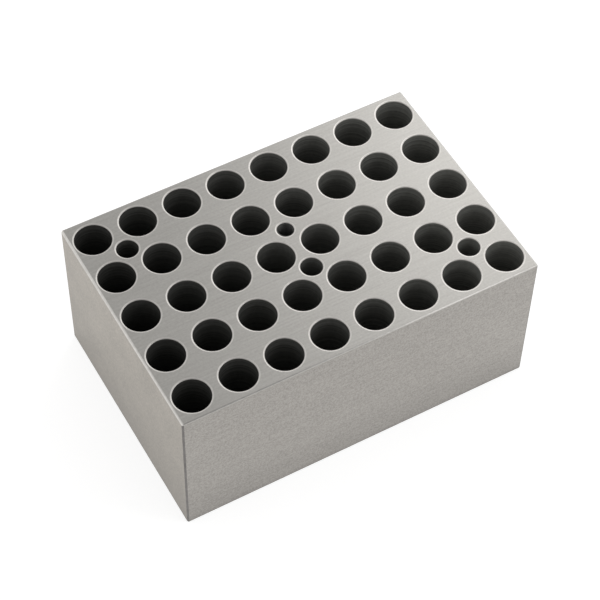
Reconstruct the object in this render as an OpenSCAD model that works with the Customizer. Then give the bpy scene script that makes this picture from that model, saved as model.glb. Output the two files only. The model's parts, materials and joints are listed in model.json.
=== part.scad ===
// Insert for a dry block heater: one aluminium block, sawn and milled square, with a grid of
// blind wells for 1.5 ml tubes, blind holes for a temperature probe, and a tapped hole that
// takes a lifting handle.
// The origin is at the centre of the underside. +X runs along the block, +Y across it, +Z up.

/* [Wells] */
// Number of wells along the block
columns = 8; // [4:1:10]
// Number of rows of wells across the block
rows = 5; // [3:1:6]
// Distance from well to well along a row
pitch_x = 14.1; // [12.6:0.1:20]
// Distance from row to row
pitch_y = 15.1; // [12.6:0.1:20]
// Diameter of a well
well_d = 10.8; // [8:0.1:12]
// Depth of a well's straight wall below the top face
well_depth = 38; // [20:0.5:44]

/* [Probe holes] */
// Diameter of a probe hole
probe_d = 6.4; // [3:0.1:8]
// Depth of a probe hole's straight wall below the top face
probe_depth = 38; // [15:0.5:44]

/* [Lifting hole] */
// Outer diameter of the lifting handle's thread
lift_d = 5; // [3:0.5:8]
// Depth of the tapped hole's straight wall below the top face
lift_depth = 15; // [8:0.5:40]

/* [Block] */
// Height of the block
block_h = 50; // [46:0.5:80]
// Metal left between the end wells and the block's ends
end_wall = 1.25; // [0.9:0.05:12]
// Metal left between the outer rows and the block's long sides
side_wall = 1.9; // [0.9:0.1:12]
// Width of the chamfer that breaks the block's outer edges
edge_chamfer = 0.4; // [0.1:0.05:0.5]
// Width of the chamfer round the mouth of each hole
rim_chamfer = 0.3; // [0.1:0.05:0.4]
// Point angle of the drills, which shapes the bottom of each hole
point_angle = 118; // [90:1:140]

/* [Hidden] */
$fn = 64;

// The block is as long and as wide as its wells, their spacing and the outer walls need
block_l = (columns - 1) * pitch_x + well_d + 2 * end_wall;
block_w = (rows - 1) * pitch_y + well_d + 2 * side_wall;

// Columns are counted from the -X end and rows from the +Y side. A half number is midway
// between two wells.
mid_column = floor(columns / 2) + 0.5;
mid_row = ceil(rows / 2);
probe_sites = [[1.5, 1.5], [mid_column, mid_row + 0.5], [columns - 0.5, rows - 0.5]];
lift_site = [mid_column, mid_row - 0.5];

// How far a cutter starts above the face that it cuts
overrun = 1;

// Moves its children to a column and a row, at the height of the top face
module at_site(column, row) {
    translate([(column - (columns + 1) / 2) * pitch_x, ((rows + 1) / 2 - row) * pitch_y, block_h])
        children();
}

// The metal that a drill and a countersink take out below the top face
module drilled_hole(d, depth) {
    r = d / 2;
    point_h = r / tan(point_angle / 2);
    rotate_extrude()
        polygon([
            [0, overrun],
            [r + rim_chamfer + overrun, overrun],
            [r, -rim_chamfer],
            [r, -depth],
            [0, -depth - point_h]
        ]);
}

// A bar that is centred on its own axis, with its four long edges chamfered
module chamfered_bar(width, height, length) {
    x = width / 2;
    y = height / 2;
    c = edge_chamfer;
    linear_extrude(length, center = true)
        polygon([
            [c - x, -y], [x - c, -y], [x, c - y], [x, y - c],
            [x - c, y], [c - x, y], [-x, y - c], [-x, c - y]
        ]);
}

// The solid block, with all twelve edges chamfered
module blank() {
    translate([0, 0, block_h / 2])
        intersection() {
            chamfered_bar(block_l, block_w, block_h);
            rotate([90, 0, 0]) chamfered_bar(block_l, block_h, block_w);
            rotate([0, 90, 0]) chamfered_bar(block_h, block_w, block_l);
        }
}

module heat_block() {
    color([0.72, 0.71, 0.69])
        difference() {
            blank();
            for (row = [1:rows], column = [1:columns])
                at_site(column, row) drilled_hole(well_d, well_depth);
            for (site = probe_sites)
                at_site(site[0], site[1]) drilled_hole(probe_d, probe_depth);
            at_site(lift_site[0], lift_site[1]) drilled_hole(lift_d, lift_depth);
        }
}

heat_block();
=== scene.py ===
import json
import math

import bmesh
import bpy
from mathutils import Euler, Matrix, Vector


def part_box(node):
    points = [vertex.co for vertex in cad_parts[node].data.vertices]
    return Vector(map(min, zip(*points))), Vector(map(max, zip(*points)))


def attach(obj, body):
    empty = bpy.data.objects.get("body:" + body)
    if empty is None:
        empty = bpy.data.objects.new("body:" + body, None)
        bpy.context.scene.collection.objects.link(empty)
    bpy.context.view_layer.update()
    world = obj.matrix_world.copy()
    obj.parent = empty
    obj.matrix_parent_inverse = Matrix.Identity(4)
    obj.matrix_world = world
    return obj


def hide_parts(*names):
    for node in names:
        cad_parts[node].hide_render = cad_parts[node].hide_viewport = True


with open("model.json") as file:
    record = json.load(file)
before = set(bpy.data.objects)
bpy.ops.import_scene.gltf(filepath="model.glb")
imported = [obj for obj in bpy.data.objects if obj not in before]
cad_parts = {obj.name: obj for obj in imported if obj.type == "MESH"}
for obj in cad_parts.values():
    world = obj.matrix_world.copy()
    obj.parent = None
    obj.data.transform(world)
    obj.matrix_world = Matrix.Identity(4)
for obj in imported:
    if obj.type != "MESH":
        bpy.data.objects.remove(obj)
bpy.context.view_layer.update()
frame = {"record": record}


# --- Blank ------------------------------------------------------------------------------------
# The block starts as a length of aluminium flat bar, sawn off and milled square on all six faces.
# A file breaks its twelve edges: the top edges of the sawn ends widely, the others lightly.

MM = 0.001
TOP, SIDE, END, FILED, BROKEN, CORNER, RIM, WALL, TAPPED = range(9)  # the finishes, slot by slot
square_on = 0.999
nearly_upright = 0.1
end_edge_round = 0.6 * MM
long_edge_round = 0.35 * MM
corner_round = 0.5 * MM
foot_edge_round = 0.4 * MM
edge_steps = 5

block_low, block_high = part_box("heat_block")
block_data = bpy.data.meshes.new("sawn_bar")
bar_mesh = bmesh.new()
bmesh.ops.create_cube(
    bar_mesh,
    size=1.0,
    matrix=Matrix.LocRotScale((block_low + block_high) / 2, None, block_high - block_low),
)
weight = bar_mesh.edges.layers.float.new("bevel_weight_edge")
for edge in bar_mesh.edges:
    along = edge.verts[1].co - edge.verts[0].co
    height = (edge.verts[0].co.z + edge.verts[1].co.z) / 2
    if abs(along.z) > MM:
        rounding = corner_round
    elif height < block_high.z - MM:
        rounding = foot_edge_round
    else:
        rounding = end_edge_round if abs(along.y) > MM else long_edge_round
    edge[weight] = rounding / end_edge_round
bar_mesh.to_mesh(block_data)
bar_mesh.free()
block = bpy.data.objects.new("drilled_block", block_data)
bpy.context.scene.collection.objects.link(block)

filed = block.modifiers.new("filed", "BEVEL")
filed.limit_method = "WEIGHT"
filed.width = end_edge_round
filed.segments = edge_steps
filed.profile = 0.4


def take_shape(made):
    """Gives an object the mesh that its modifiers make, and removes the modifiers."""
    depsgraph = bpy.context.evaluated_depsgraph_get()
    made.data = bpy.data.meshes.new_from_object(made.evaluated_get(depsgraph))
    made.modifiers.clear()


def finish_of(face):
    """The finish of a face of the filed blank, by the way that it faces."""
    across, deep, up = (abs(part) for part in face.normal)
    if up > square_on:
        return TOP
    if across > square_on:
        return END
    if deep > square_on:
        return SIDE
    # Upright corners and the foot edges take a dark colour: painted shade for the dark they reflect
    # and for the floor's contact shadow at the foot.
    if up < nearly_upright or face.calc_center_median().z < (block_low.z + block_high.z) / 2:
        return CORNER
    return FILED if across > deep else BROKEN


take_shape(block)
blank_mesh = bmesh.new()
blank_mesh.from_mesh(block.data)
blank_mesh.normal_update()
for face in blank_mesh.faces:
    face.material_index = finish_of(face)
blank_mesh.to_mesh(block.data)
blank_mesh.free()


# --- Wells, probe holes and lifting hole ------------------------------------------------------
# Every hole is drilled straight down from the top face and lightly countersunk, which leaves a
# bright lip round its mouth. A drill point shapes its floor. The lifting hole is then tapped.

ring_sides = 128
cutter_overrun = 0.5 * MM
point_angle = math.radians(118)
thread_pitch = 0.8 * MM
thread_depth = 0.43 * MM
steps_per_pitch = 8
lip_width = 0.55 * MM
lip_depth = 0.22 * MM
lip_steps = 7


def lip_turn(step):
    """How far round its quarter turn a lip has come: half a step in, it leaves the top face."""
    return math.pi / 2 * (step + 0.5) / (lip_steps - 0.5)


def thread_radius(radius, turn, height):
    """The radius of a tapped wall: a V groove that winds up by one pitch in each turn."""
    along = (height / thread_pitch - turn / math.tau) % 1.0
    return radius - thread_depth * abs(2 * along - 1)


def add_cutter(mesh, top, profile, threaded=()):
    """Adds a closed turned body. profile lists (radius, height, finish of the band below it)."""
    rings = []
    for level, (radius, height, _) in enumerate(profile):
        if radius == 0:
            rings.append([mesh.verts.new(top + Vector((0, 0, height)))])
            continue
        ring = []
        for side in range(ring_sides):
            turn = math.tau * side / ring_sides
            reach = thread_radius(radius, turn, height) if level in threaded else radius
            spot = Vector((reach * math.cos(turn), reach * math.sin(turn), height))
            ring.append(mesh.verts.new(top + spot))
        rings.append(ring)
    for upper, lower, (_, _, finish) in zip(rings, rings[1:], profile):
        for side in range(ring_sides):
            after = (side + 1) % ring_sides
            corners = [upper[side % len(upper)], lower[side % len(lower)]]
            corners += [lower[after % len(lower)], upper[after % len(upper)]]
            face = mesh.faces.new(list(dict.fromkeys(corners)))
            face.material_index = finish


drills_mesh = bmesh.new()
for hole in frame["record"]["mounts"]:
    if hole["kind"] not in ("bore", "threaded_hole"):
        continue
    mouth = Vector(hole["pos_m"])
    radius = hole["dims"]["r_mm"] * MM
    depth = hole["dims"]["length_mm"] * MM
    top = Vector((mouth.x, mouth.y, block_high.z))
    lip = []
    for step in range(lip_steps):
        drop = lip_depth * (math.cos(lip_turn(0)) - math.cos(lip_turn(step)))
        lip.append((radius + lip_width * (1 - math.sin(lip_turn(step))), -drop, RIM))
    lid = [(0, cutter_overrun, RIM), (lip[0][0], cutter_overrun, RIM)]
    rim = -lip[-1][1]
    depth -= rim - (block_high.z - mouth.z)  # a recorded hole starts under its countersink
    finish = TAPPED if hole["kind"] == "threaded_hole" else WALL
    wall = [(radius, -rim, finish)]
    threaded = ()
    if hole["kind"] == "threaded_hole":
        turns = round(depth / thread_pitch * steps_per_pitch)
        wall += [(radius, -rim - depth * step / turns, finish) for step in range(1, turns)]
        threaded = range(len(lid + lip), len(lid + lip) + turns - 1)
    wall += [(radius, -rim - depth, finish)]
    wall += [(0, -rim - depth - radius / math.tan(point_angle / 2), finish)]
    add_cutter(drills_mesh, top, lid + lip[:-1] + wall, threaded)
bmesh.ops.recalc_face_normals(drills_mesh, faces=drills_mesh.faces[:])
drills_data = bpy.data.meshes.new("drills")
drills_mesh.to_mesh(drills_data)
drills_mesh.free()
drills = bpy.data.objects.new("drills", drills_data)
bpy.context.scene.collection.objects.link(drills)


# --- Finishes ---------------------------------------------------------------------------------
# The whole part is bare aluminium. The top is fly cut along the block and the sides have a fine
# satin grain, with painted shade that darkens them towards the foot. The file and the countersink
# leave bright edges and lips, and the drilled and tapped walls carry their tool marks, with the
# shade deep in the holes painted dark into them.

grain_detail = 3.0
relief_height = 0.02 * MM
crease_angle = math.radians(35)
# Painted shade: these levels darken the ends and sides towards the floor, standing in for the
# floor's contact shadow that they reflect.
end_painted_foot_shade = [(0.0, 0.55), (0.012, 0.68), (0.05, 0.75), (0.12, 0.77)]
end_painted_foot_shade += [(0.3, 0.845), (0.5, 0.925), (1.0, 0.99)]
side_painted_foot_shade = [(0.0, 0.62), (0.012, 0.76), (0.05, 0.88), (0.12, 0.90)]
side_painted_foot_shade += [(0.3, 0.985), (0.5, 0.99), (1.0, 0.955)]


def metal(name, light, dark, shine, grain, lay, share, bump, metallic=1.0, far_end_painted_light=1.0, painted_foot_shade=()):
    """A bare metal whose colour, roughness and relief follow its grain and its tool marks.

    grain and lay are marks per metre along X, Y and Z, and share is how much of the look is lay.
    The far end factor is how much lighter the colour is painted at the +X end of the block than at
    the -X end, as painted light from the lamps there. The foot list holds (share of the height,
    level) of painted shade that darkens sides towards the ground, where the floor's contact shadow
    falls.
    """
    made = bpy.data.materials.new(name)
    made.use_nodes = True
    nodes, links = made.node_tree.nodes, made.node_tree.links
    shader = nodes["Principled BSDF"]
    shader.inputs["Metallic"].default_value = metallic
    place = nodes.new("ShaderNodeTexCoord")
    split = nodes.new("ShaderNodeSeparateXYZ")
    links.new(place.outputs["Object"], split.inputs["Vector"])
    marks = []
    for density in (grain, lay):
        stretch = nodes.new("ShaderNodeMapping")
        stretch.inputs["Scale"].default_value = density
        links.new(place.outputs["Object"], stretch.inputs["Vector"])
        noise = nodes.new("ShaderNodeTexNoise")
        noise.inputs["Scale"].default_value = 1.0
        noise.inputs["Detail"].default_value = grain_detail
        links.new(stretch.outputs["Vector"], noise.inputs["Vector"])
        marks.append(noise.outputs["Fac"])
    blend = nodes.new("ShaderNodeMix")
    blend.inputs["Factor"].default_value = share
    links.new(marks[0], blend.inputs["A"])
    links.new(marks[1], blend.inputs["B"])
    surface = blend.outputs["Result"]
    tint = nodes.new("ShaderNodeValToRGB")
    tint.color_ramp.elements[0].position = 0.3
    tint.color_ramp.elements[1].position = 0.7
    tint.color_ramp.elements[0].color = (*dark, 1)
    tint.color_ramp.elements[1].color = (*light, 1)
    links.new(surface, tint.inputs["Fac"])
    colour = tint.outputs["Color"]
    # Painted light: the colour lightens towards the +X end, where the lamps light the lips and
    # wells more.
    if far_end_painted_light != 1.0:
        along = nodes.new("ShaderNodeMapRange")
        along.inputs["From Min"].default_value = block_low.x
        along.inputs["From Max"].default_value = block_high.x
        along.inputs["To Min"].default_value = 1.0
        along.inputs["To Max"].default_value = far_end_painted_light
        links.new(split.outputs["X"], along.inputs["Value"])
        paint_far_end_light = nodes.new("ShaderNodeVectorMath")
        paint_far_end_light.operation = "SCALE"
        links.new(colour, paint_far_end_light.inputs[0])
        links.new(along.outputs["Result"], paint_far_end_light.inputs["Scale"])
        colour = paint_far_end_light.outputs[0]
    # Painted shade: the colour darkens towards the foot, in place of the floor's contact shadow
    # seen in the sides.
    if painted_foot_shade:
        up = nodes.new("ShaderNodeMapRange")
        up.inputs["From Min"].default_value = block_low.z
        up.inputs["From Max"].default_value = block_high.z
        links.new(split.outputs["Z"], up.inputs["Value"])
        foot_shade_ramp = nodes.new("ShaderNodeValToRGB")
        while len(foot_shade_ramp.color_ramp.elements) < len(painted_foot_shade):
            foot_shade_ramp.color_ramp.elements.new(0.5)
        for element, (height, level) in zip(foot_shade_ramp.color_ramp.elements, painted_foot_shade):
            element.position = height
            element.color = (level, level, level, 1)
        links.new(up.outputs["Result"], foot_shade_ramp.inputs["Fac"])
        paint_foot_shade = nodes.new("ShaderNodeVectorMath")
        paint_foot_shade.operation = "MULTIPLY"
        links.new(colour, paint_foot_shade.inputs[0])
        links.new(foot_shade_ramp.outputs["Color"], paint_foot_shade.inputs[1])
        colour = paint_foot_shade.outputs[0]
    links.new(colour, shader.inputs["Base Color"])
    gloss = nodes.new("ShaderNodeMapRange")
    gloss.inputs["To Min"].default_value = shine[0]
    gloss.inputs["To Max"].default_value = shine[1]
    links.new(surface, gloss.inputs["Value"])
    links.new(gloss.outputs["Result"], shader.inputs["Roughness"])
    relief = nodes.new("ShaderNodeBump")
    relief.inputs["Strength"].default_value = bump
    relief.inputs["Distance"].default_value = relief_height
    links.new(surface, relief.inputs["Height"])
    links.new(relief.outputs["Normal"], shader.inputs["Normal"])
    return made


finishes = [
    metal("milled_top", (0.42, 0.408, 0.387), (0.33, 0.32, 0.301), (0.34, 0.42),
          (1500, 1500, 1500), (50, 1900, 1900), 0.5, 0.25),
    metal("satin_side", (0.46, 0.438, 0.409), (0.275, 0.261, 0.243), (0.38, 0.50),
          (1900, 1900, 1900), (100, 100, 2200), 0.25, 0.4, painted_foot_shade=side_painted_foot_shade),
    metal("faced_end", (0.46, 0.424, 0.373), (0.277, 0.253, 0.221), (0.36, 0.48),
          (1900, 1900, 1900), (2200, 100, 100), 0.25, 0.4, painted_foot_shade=end_painted_foot_shade),
    metal("filed_edge", (0.68, 0.66, 0.63), (0.52, 0.505, 0.48), (0.30, 0.38),
          (900, 900, 900), (60, 60, 900), 0.3, 0.2),
    metal("broken_edge", (0.55, 0.533, 0.51), (0.44, 0.428, 0.407), (0.34, 0.42),
          (900, 900, 900), (60, 60, 900), 0.3, 0.2),
    # Painted shade: the dark colour of the upright corners and foot edges.
    metal("corner_painted_shade", (0.243, 0.234, 0.225), (0.153, 0.144, 0.139), (0.45, 0.55),
          (900, 900, 900), (900, 900, 60), 0.3, 0.2),
    # The lips and the drilled walls are painted lighter towards the +X end: painted light from the
    # lamps at that end.
    metal("countersunk_rim", (0.57, 0.55, 0.522), (0.494, 0.48, 0.456), (0.42, 0.48),
          (900, 900, 900), (900, 900, 60), 0.3, 0.1, far_end_painted_light=1.3),
    # Painted shade: the dark colours of the drilled and tapped walls stand for the shade deep in
    # the holes; their rings are tool marks.
    metal("drilled_wall_painted_shade", (0.116, 0.116, 0.109), (0.048, 0.048, 0.045), (0.4, 0.5),
          (900, 900, 900), (20, 20, 2400), 0.8, 0.4, metallic=0.6, far_end_painted_light=3.7),
    metal("tapped_wall_painted_shade", (0.06, 0.06, 0.057), (0.03, 0.03, 0.028), (0.4, 0.5),
          (900, 900, 900), (20, 20, 2400), 0.5, 0.2, metallic=0.6),
]
for finish in finishes:
    block.data.materials.append(finish)
    drills_data.materials.append(finish)

drilled = block.modifiers.new("drilled", "BOOLEAN")
drilled.operation = "DIFFERENCE"
drilled.solver = "EXACT"
drilled.material_mode = "INDEX"
drilled.object = drills
take_shape(block)
bpy.data.objects.remove(drills)
block.data.name = "drilled_block"
block.data.shade_smooth()
block.data.set_sharp_from_angle(angle=crease_angle)
drilled_mesh = bmesh.new()
drilled_mesh.from_mesh(block.data)
for edge in drilled_mesh.edges:
    meeting = {face.material_index for face in edge.link_faces}
    if len(meeting) > 1 and meeting & {TOP, SIDE, END}:
        edge.smooth = False
drilled_mesh.to_mesh(block.data)
drilled_mesh.free()

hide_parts("heat_block")
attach(block, "root")


# --- Floor, room and lamps --------------------------------------------------------------------
# The block stands on a plain white sweep in a white room. Two soft lamps hang at its right end, one
# behind it and one before it. The ceiling and the room's front left side are a little darker. The
# sweep can be seen through from below, and lies a hair under the block, which then never cuts it.

floor_reach = 20.0
floor_drop = 0.02 * MM
glow = 0.76
paper = 0.46
bounce = 0.8

floor_mesh = bmesh.new()
bmesh.ops.create_grid(floor_mesh, x_segments=1, y_segments=1, size=floor_reach)
floor_data = bpy.data.meshes.new("floor")
floor_mesh.to_mesh(floor_data)
floor_mesh.free()
floor = bpy.data.objects.new("floor", floor_data)
floor.location.z = -floor_drop
bpy.context.scene.collection.objects.link(floor)

sweep = bpy.data.materials.new("white_sweep")
sweep.use_nodes = True
nodes, links = sweep.node_tree.nodes, sweep.node_tree.links
nodes.clear()
out = nodes.new("ShaderNodeOutputMaterial")
path = nodes.new("ShaderNodeLightPath")
seen = nodes.new("ShaderNodeMath")
seen.operation = "MAXIMUM"
links.new(path.outputs["Is Camera Ray"], seen.inputs[0])
links.new(path.outputs["Is Glossy Ray"], seen.inputs[1])
seen_too = nodes.new("ShaderNodeMath")
seen_too.operation = "MAXIMUM"
links.new(seen.outputs[0], seen_too.inputs[0])
links.new(path.outputs["Is Transmission Ray"], seen_too.inputs[1])
plain = nodes.new("ShaderNodeBsdfDiffuse")
plain.inputs["Color"].default_value = (bounce, bounce, bounce, 1)
pale = nodes.new("ShaderNodeBsdfDiffuse")
pale.inputs["Color"].default_value = (paper, paper, paper, 1)
lit = nodes.new("ShaderNodeEmission")
lit.inputs["Color"].default_value = (1, 1, 1, 1)
lit.inputs["Strength"].default_value = glow
both = nodes.new("ShaderNodeAddShader")
links.new(pale.outputs[0], both.inputs[0])
links.new(lit.outputs[0], both.inputs[1])
choose = nodes.new("ShaderNodeMixShader")
links.new(seen_too.outputs[0], choose.inputs["Fac"])
links.new(plain.outputs[0], choose.inputs[1])
links.new(both.outputs[0], choose.inputs[2])
side = nodes.new("ShaderNodeNewGeometry")
clear = nodes.new("ShaderNodeBsdfTransparent")
one_sided = nodes.new("ShaderNodeMixShader")
links.new(side.outputs["Backfacing"], one_sided.inputs["Fac"])
links.new(choose.outputs[0], one_sided.inputs[1])
links.new(clear.outputs[0], one_sided.inputs[2])
links.new(one_sided.outputs[0], out.inputs["Surface"])
floor_data.materials.append(sweep)

room = bpy.data.worlds.new("white_room")
bpy.context.scene.world = room
room.use_nodes = True
nodes, links = room.node_tree.nodes, room.node_tree.links
nodes["Background"].inputs["Strength"].default_value = 1.0
way = nodes.new("ShaderNodeTexCoord")


def room_patch(azimuth, elevation, start, end, level):
    """A factor of 1 that falls to level as the direction turns from start to end off a spot."""
    turn, lift = math.radians(azimuth), math.radians(elevation)
    spot = (math.cos(turn) * math.cos(lift), math.sin(turn) * math.cos(lift), math.sin(lift))
    toward = nodes.new("ShaderNodeVectorMath")
    toward.operation = "DOT_PRODUCT"
    toward.inputs[1].default_value = spot
    links.new(way.outputs["Generated"], toward.inputs[0])
    fade = nodes.new("ShaderNodeMapRange")
    fade.interpolation_type = "SMOOTHSTEP"
    fade.inputs["From Min"].default_value = math.cos(math.radians(end))
    fade.inputs["From Max"].default_value = math.cos(math.radians(start))
    fade.inputs["To Min"].default_value = 1.0
    fade.inputs["To Max"].default_value = level
    links.new(toward.outputs["Value"], fade.inputs["Value"])
    return fade.outputs["Result"]


ceiling = room_patch(0, 90, 5, 65, 0.6)
front = room_patch(240, 45, 0, 60, 0.5)
shade = nodes.new("ShaderNodeMath")
shade.operation = "MULTIPLY"
links.new(ceiling, shade.inputs[0])
links.new(front, shade.inputs[1])
grey = nodes.new("ShaderNodeCombineColor")
for channel in grey.inputs:
    links.new(shade.outputs[0], channel)
links.new(grey.outputs[0], nodes["Background"].inputs["Color"])


def area_lamp(name, spot, aim, size, power):
    """A soft square lamp at spot, in millimetres, turned to face aim, with its power in watts."""
    data = bpy.data.lights.new(name, "AREA")
    data.shape = "SQUARE"
    data.size = size * MM
    data.energy = power
    lamp = bpy.data.objects.new(name, data)
    lamp.location = Vector(spot) * MM
    lamp.rotation_euler = (Vector(aim) - Vector(spot)).to_track_quat("-Z", "Y").to_euler()
    lamp.visible_camera = False
    bpy.context.scene.collection.objects.link(lamp)


area_lamp("key_lamp", (290, 250, 400), (40, 0, 50), 220, 0.32)
area_lamp("fill_lamp", (300, -260, 330), (30, 0, 50), 200, 0.29)


# --- Camera -----------------------------------------------------------------------------------
# A long lens looks down on the block's front left corner. The image is 600 pixels square.

camera_data = bpy.data.cameras.new("camera")
camera_data.sensor_width = 36.0
camera_data.lens = 120.475
camera_data.shift_x = 0.02417
camera_data.shift_y = 0.03417
camera_data.clip_start = 0.01
camera_data.clip_end = 50.0
camera = bpy.data.objects.new("camera", camera_data)
camera.location = Vector((-176.587, -302.839, 492.247)) * MM
camera.rotation_euler = Euler([math.radians(turn) for turn in (36.3165, -0.5236, -28.9914)])
bpy.context.scene.collection.objects.link(camera)
bpy.context.scene.camera = camera
bpy.context.scene.view_settings.view_transform = "Standard"
